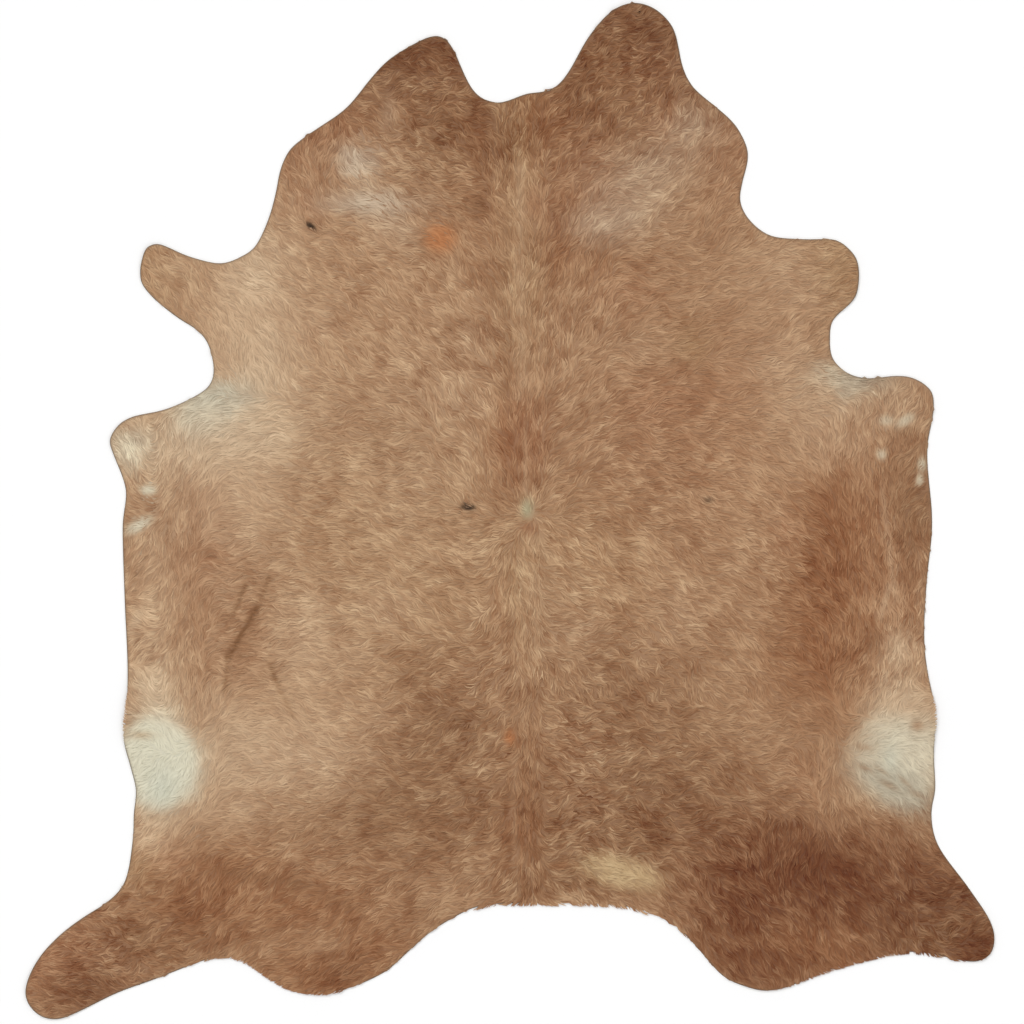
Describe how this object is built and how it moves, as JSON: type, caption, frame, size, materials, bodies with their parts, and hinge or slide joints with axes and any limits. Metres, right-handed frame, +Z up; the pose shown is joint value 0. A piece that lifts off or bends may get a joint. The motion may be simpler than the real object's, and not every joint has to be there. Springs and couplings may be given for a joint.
{
  "type": "cowhide rug",
  "caption": "Flat one-piece floor rug of tanned cowhide with its short hair on, in a natural hide outline with a notched neck and leg ends.",
  "frame": {"origin": "on the floor under the middle of the hide's outline", "axes": "+Y towards the neck, -Y towards the tail edge, +X to the right seen from above, +Z up from the floor, hair side up"},
  "size_m": [2.036, 2.134, 0.0096],
  "materials": {
    "hair_on_hide": "short lying hair in warm brown with light tan, dark reddish and cream patches; pale suede on the flesh side"
  },
  "bodies": {
    "root": {"hide": "hair_on_hide"}
  },
  "joints": []
}
